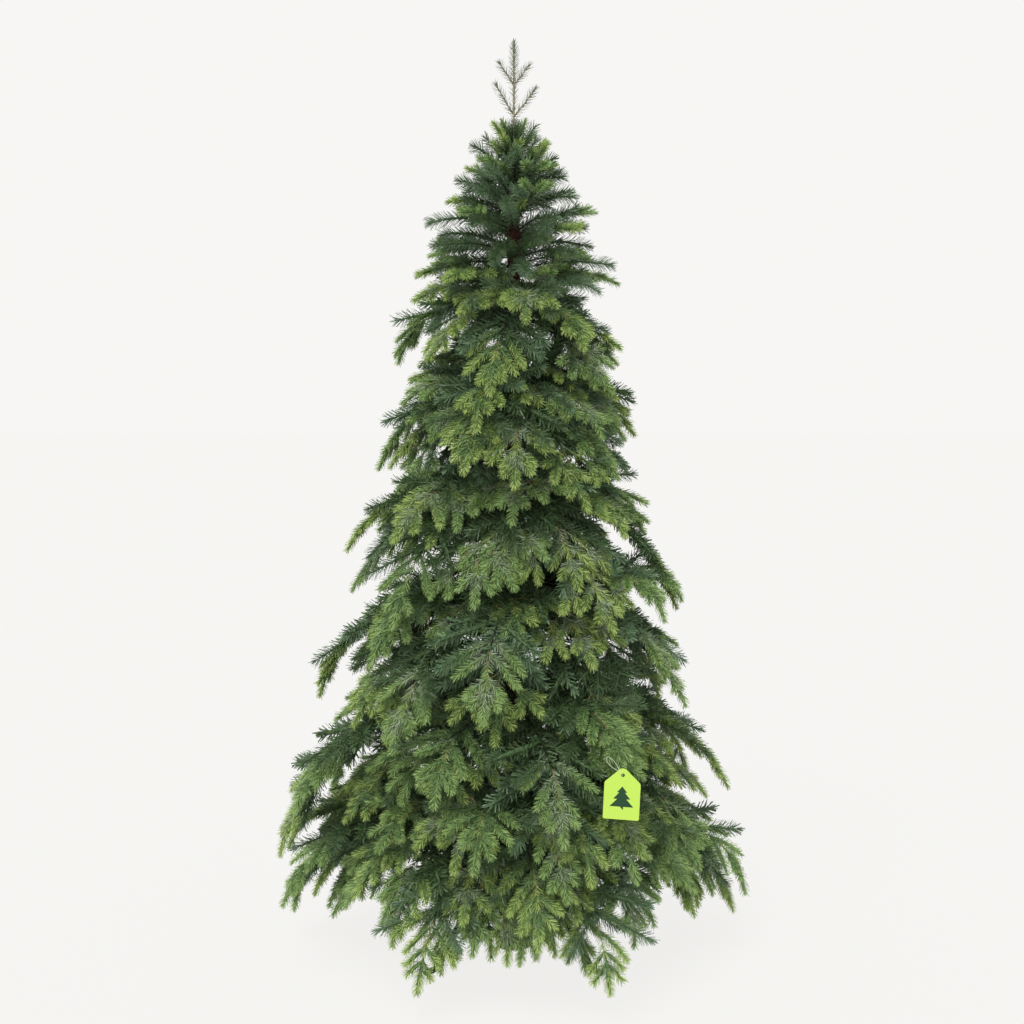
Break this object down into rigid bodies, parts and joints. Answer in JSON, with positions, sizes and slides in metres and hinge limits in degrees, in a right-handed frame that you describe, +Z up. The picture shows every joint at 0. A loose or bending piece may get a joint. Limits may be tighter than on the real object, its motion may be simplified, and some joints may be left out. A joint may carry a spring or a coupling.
{
  "type": "artificial spruce christmas tree on a metal stand",
  "caption": "Slim artificial spruce with drooping moulded tips over darker inner branches, on a wrapped pole in a plain folding-style metal stand.",
  "frame": {"origin": "on the floor, at the middle of the stand's flat underside", "axes": "+Z up along the pole, -Y towards the viewer's front, +X to the viewer's right"},
  "size_m": [0.9494, 0.947, 1.8],
  "materials": {
    "foliage": "matte moulded and flat-cut plastic needles",
    "wrapped_pole": "reddish brown fringe wound round the pole",
    "wrapped_wire": "brown tape wound round wire",
    "stand_paint": "satin dark green"
  },
  "bodies": {
    "root": {"trunk": "wrapped_pole", "stand_hub": "stand_paint", "stand_leg_1": "stand_paint", "stand_leg_2": "stand_paint", "stand_leg_3": "stand_paint", "stand_leg_4": "stand_paint", "bough_1_1": "wrapped_wire", "mass_1_1": "foliage", "bough_1_2": "wrapped_wire", "mass_1_2": "foliage", "bough_1_3": "wrapped_wire", "mass_1_3": "foliage", "bough_1_4": "wrapped_wire", "mass_1_4": "foliage", "bough_1_5": "wrapped_wire", "mass_1_5": "foliage", "bough_2_1": "wrapped_wire", "mass_2_1": "foliage", "bough_2_2": "wrapped_wire", "mass_2_2": "foliage", "bough_2_3": "wrapped_wire", "mass_2_3": "foliage", "bough_2_4": "wrapped_wire", "mass_2_4": "foliage", "bough_2_5": "wrapped_wire", "mass_2_5": "foliage", "bough_3_1": "wrapped_wire", "mass_3_1": "foliage", "bough_3_2": "wrapped_wire", "mass_3_2": "foliage", "bough_3_3": "wrapped_wire", "mass_3_3": "foliage", "bough_3_4": "wrapped_wire", "mass_3_4": "foliage", "bough_4_1": "wrapped_wire", "mass_4_1": "foliage", "bough_4_2": "wrapped_wire", "mass_4_2": "foliage", "bough_4_3": "wrapped_wire", "mass_4_3": "foliage", "bough_4_4": "wrapped_wire", "mass_4_4": "foliage", "bough_5_1": "wrapped_wire", "mass_5_1": "foliage", "bough_5_2": "wrapped_wire", "mass_5_2": "foliage", "bough_5_3": "wrapped_wire", "mass_5_3": "foliage", "bough_5_4": "wrapped_wire", "mass_5_4": "foliage", "bough_6_1": "wrapped_wire", "mass_6_1": "foliage", "bough_6_2": "wrapped_wire", "mass_6_2": "foliage", "bough_6_3": "wrapped_wire", "mass_6_3": "foliage", "mass_crown_top": "foliage", "mass_leader": "foliage"}
  },
  "joints": []
}
